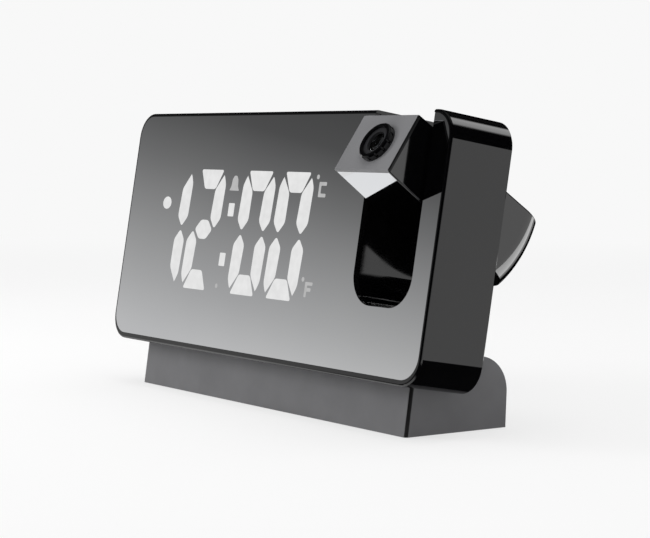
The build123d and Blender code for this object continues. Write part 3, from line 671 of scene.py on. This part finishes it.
# %% [markdown]
# ## Camera
#
# The camera stands to the right of the clock, a little above it, and looks slightly down. A
# long lens keeps the slab's edges nearly parallel.

# %% Camera
camera_turn = 0.971                 # radians to the left of straight ahead
camera_dip = 0.069                  # radians below the horizon
camera_data = bpy.data.cameras.new("camera")
camera_data.lens = 108.0
camera_data.sensor_width = 36.0
camera = bpy.data.objects.new("camera", camera_data)
bpy.context.scene.collection.objects.link(camera)
camera.location = (0.55196, -0.37086, 0.09214)
camera.rotation_euler = (pi / 2 - camera_dip, 0, camera_turn)
bpy.context.scene.camera = camera
print("lens", camera_data.lens, "place", tuple(camera.location))

# %% [markdown]
# ## Room
#
# The clock stands in a white studio. Gloss and mirrors have no look of their own and need
# something to show, so the world gives glossy rays a room that a photographer would set up
# with cloths and panels, while diffuse rays see an even grey and the camera sees white.
#
# In front, the room is light at the horizon and falls off slowly with height, which gives the
# mirror its gradient. Behind, it falls off quickly, which gives the side crisp edges. Two dark
# cloths hang at the far left and in front, and one large soft panel stands high behind.

# %% Shades of the room by height
world = bpy.data.worlds.new("studio")
bpy.context.scene.world = world
world.use_nodes = True
sky = world.node_tree
sky.nodes.clear()
direction = add(sky, "ShaderNodeTexCoord").outputs["Generated"]
height = add(sky, "ShaderNodeSeparateXYZ", {"Vector": direction}).outputs["Z"]
room_stops = {
    "front": [
        (0.0, "#8C8C8C"), (0.05, "#C6C6C6"), (0.065, "#C3C3C3"), (0.09, "#ADADAD"),
        (0.12, "#939393"), (0.15, "#737373"), (0.18, "#515151"), (0.22, "#404040"),
        (0.36, "#242424"), (0.8, "#2A2A2A"), (1.0, "#808080"),
    ],
    "back": [
        (0.0, "#F8F8F8"), (0.03, "#F0F0F0"), (0.09, "#060606"), (0.8, "#080808"),
        (1.0, "#808080"),
    ],
}
room_shade = {}
for part, stops in room_stops.items():
    node = add(sky, "ShaderNodeValToRGB", {"Fac": height})
    elements = node.color_ramp.elements
    for place, _ in stops[2:]:
        elements.new(place)
    for element, (place, shade) in zip(elements, stops):
        element.position = place
        element.color = linear(shade)
    room_shade[part] = node.outputs["Color"]
print("room:", {part: len(stops) for part, stops in room_stops.items()})

# %% The room for each kind of ray
to_right_back, back_edge = (0.78, 0.62, 0.0), (0.0, 0.4)
to_left_back, corner_edge = (-0.78, 0.62, 0.0), (0.78, 0.92)
to_front, front_edge = (0.26, -0.966, 0.0), (0.6, 0.8)
to_panel, panel_edge = (0.1, 0.745, 0.66), (0.955, 0.99)
panel_level = 2.5                   # the panel is brighter than white in gloss
cloth_shade = "#040404"

is_panel = towards(sky, direction, to_panel, panel_edge)
rays = add(sky, "ShaderNodeLightPath").outputs
shown = layered(sky, room_shade["front"], [
    (towards(sky, direction, to_right_back, back_edge), room_shade["back"]),
    (towards(sky, direction, to_left_back, corner_edge), cloth_shade),
    (towards(sky, direction, to_front, front_edge), cloth_shade),
    (is_panel, "#FFFFFF"),
    (rays["Is Diffuse Ray"], "#D2D2D2"),
    (rays["Is Camera Ray"], "#F8F8F8"),
])
level = add(sky, "ShaderNodeMath", {
    0: is_panel, 1: panel_level - 1, 2: 1.0,
}, operation="MULTIPLY_ADD")
gloss_level = add(sky, "ShaderNodeMath", {    # to the power of 0, it is 1 for the other rays
    0: level.outputs["Value"], 1: rays["Is Glossy Ray"],
}, operation="POWER")
backdrop = add(sky, "ShaderNodeBackground", {
    "Color": shown, "Strength": gloss_level.outputs["Value"],
})
add(sky, "ShaderNodeOutputWorld", {"Surface": backdrop.outputs["Background"]})
print("world:", world.name)

# %% [markdown]
# ## Table
#
# The table is white laminate that turns into the white backdrop farther out, so it keeps the
# clock's soft shadow and shows no horizon. Gloss sees it differently, as it sees the room:
# dark cloths lie where the side, the underside and the arm's tail should mirror darkness, a
# white strip lies in front of the base, a bright card behind the right end, and the floor
# turns grey far in front. Each is a rectangle or a sector of the floor with a soft edge.

# %% What lies on the table, in metres: the middle and half the size
lit_reach, lit_end = 0.45, 1.1      # here the table turns into the backdrop
near_backdrop = 0.72                # share of the backdrop's white near the clock
front_grey, front_white = -0.17, -0.13
cloth = ((-0.025, 0.032, 0), (0.225, 0.053))
end_cloth = ((0.15, -0.06, 0), (0.05, 0.045))
strip = ((0, -0.04, 0), (0.1, 0.016))
card = ((0.15, 0.36, 0), (0.06, 0.26))
card_level = 3.5
soft_edge = 0.005
tail_place = (0.085, 0.05, 0)       # from here, the floor is dark to one side
tail_side, tail_edge = (-0.5, 0.866, 0), (0.92, 0.98)
table_cloth_shade, table_shade = "#060606", "#F4F4F4"
print("cloths:", cloth, end_cloth)

# %% Shares of the floor
def inside(tree, place, rectangle):
    """1 inside a rectangle of the floor, 0 outside it."""
    middle, half = rectangle
    offset = add(tree, "ShaderNodeVectorMath", {0: place, 1: middle}, operation="SUBTRACT")
    apart = add(tree, "ShaderNodeVectorMath", {
        0: offset.outputs["Vector"],
    }, operation="ABSOLUTE")
    parts = add(tree, "ShaderNodeSeparateXYZ", {"Vector": apart.outputs["Vector"]})
    past = [
        add(tree, "ShaderNodeMath", {
            0: parts.outputs[axis], 1: reach,
        }, operation="SUBTRACT").outputs["Value"]
        for axis, reach in zip("XY", half)
    ]
    farthest = add(tree, "ShaderNodeMath", {0: past[0], 1: past[1]}, operation="MAXIMUM")
    step = add(tree, "ShaderNodeMapRange", {
        "Value": farthest.outputs["Value"], "From Min": -soft_edge, "From Max": soft_edge,
        "To Min": 1.0, "To Max": 0.0,
    }, interpolation_type="SMOOTHSTEP")
    return step.outputs["Result"]


def sector(tree, place, origin, axis, edge):
    """1 where a place on the floor lies along an axis from an origin, 0 elsewhere."""
    offset = add(tree, "ShaderNodeVectorMath", {0: place, 1: origin}, operation="SUBTRACT")
    way = add(tree, "ShaderNodeVectorMath", {
        0: offset.outputs["Vector"],
    }, operation="NORMALIZE")
    return towards(tree, way.outputs["Vector"], axis, edge)


print("soft edge:", soft_edge / mm, "mm")

# %% The floor in gloss
def floor_in_gloss(tree, place):
    """What glossy rays see of the floor."""
    forward = add(tree, "ShaderNodeSeparateXYZ", {"Vector": place}).outputs["Y"]
    near_front = add(tree, "ShaderNodeMapRange", {
        "Value": forward, "From Min": front_grey, "From Max": front_white,
    }, interpolation_type="SMOOTHSTEP")
    centre = (0, 0, 0)
    shown = layered(tree, room_stops["front"][0][1], [
        (near_front.outputs["Result"], table_shade),
        (sector(tree, place, centre, to_left_back, corner_edge), cloth_shade),
        (sector(tree, place, centre, to_front, front_edge), cloth_shade),
        (inside(tree, place, strip), table_shade),
        (sector(tree, place, tail_place, tail_side, tail_edge), table_cloth_shade),
        (inside(tree, place, cloth), table_cloth_shade),
        (inside(tree, place, end_cloth), table_cloth_shade),
    ])
    level = add(tree, "ShaderNodeMath", {
        0: inside(tree, place, card), 1: card_level - 1, 2: 1.0,
    }, operation="MULTIPLY_ADD")
    return add(tree, "ShaderNodeEmission", {"Color": shown, "Strength": level.outputs["Value"]})


print("bright card:", card, "level", card_level)

# %% White table
def white_table():
    """White laminate near the clock; farther out it turns into the white backdrop."""
    material, tree, place = new_finish("white_table")
    near = add(tree, "ShaderNodeBsdfPrincipled", {
        "Base Color": tint(tree, place, 200, "#F4F4F4", "#F6F6F6"), "Roughness": 0.8,
    })
    backdrop = add(tree, "ShaderNodeEmission", {"Color": "#F8F8F8", "Strength": 1.0})
    distance = add(tree, "ShaderNodeVectorMath", {0: place}, operation="LENGTH")
    share = add(tree, "ShaderNodeMapRange", {
        "Value": distance.outputs["Value"], "From Min": lit_reach, "From Max": lit_end,
        "To Min": near_backdrop, "To Max": 1.0,
    }, interpolation_type="SMOOTHSTEP")
    table = add(tree, "ShaderNodeMixShader", {
        "Fac": share.outputs["Result"], 1: near.outputs["BSDF"],
        2: backdrop.outputs["Emission"],
    })
    both = add(tree, "ShaderNodeMixShader", {
        "Fac": add(tree, "ShaderNodeLightPath").outputs["Is Glossy Ray"],
        1: table.outputs["Shader"], 2: floor_in_gloss(tree, place).outputs["Emission"],
    })
    add(tree, "ShaderNodeOutputMaterial", {"Surface": both.outputs["Shader"]})
    return material


laminate = white_table()
print("table:", laminate.name)

# %% Floor
floor_reach = 30                    # far enough to meet the backdrop out of sight
bpy.ops.mesh.primitive_circle_add(vertices=96, radius=floor_reach, fill_type="NGON")
floor = bpy.context.object
floor.name = "table_top"
floor.data.materials.append(laminate)
print("floor:", floor.name, "radius", floor_reach)

# %% [markdown]
# ## Lights
#
# Three soft square lights, at a level at which a colour renders about as it is written: a
# large one overhead, one from the front left, and a small weak one close to the left end,
# which makes the base a little lighter there. Gloss doesn't show them, because the room
# already holds what it should show.

# %% Lights
lights = {                          # place, size of the square in metres, power in watts
    "overhead": ((0.1, 0.1, 1.4), 1.2, 9),
    "front_left": ((-0.9, -1.1, 0.7), 0.8, 4),
    "left_fill": ((-0.34, -0.38, 0.22), 0.2, 1.1),
}
aims = {"left_fill": (-0.1, 0, 0.02)}
clock_middle = (0, 0, 0.05)
for name, (place, size, power) in lights.items():
    data = bpy.data.lights.new(name, "AREA")
    data.size = size
    data.energy = power
    lamp = bpy.data.objects.new(name, data)
    bpy.context.scene.collection.objects.link(lamp)
    lamp.location = place
    view = Vector(aims.get(name, clock_middle)) - Vector(place)
    lamp.rotation_euler = view.to_track_quat("-Z", "Y").to_euler()
    lamp.visible_glossy = False
print("lights:", len(lights))

# %% [markdown]
# ## Finish
#
# The render shows its colours through the Standard view transform. The dressed clock
# has to stay inside the CAD model's box.

# %% Finish
bpy.context.scene.view_settings.view_transform = "Standard"
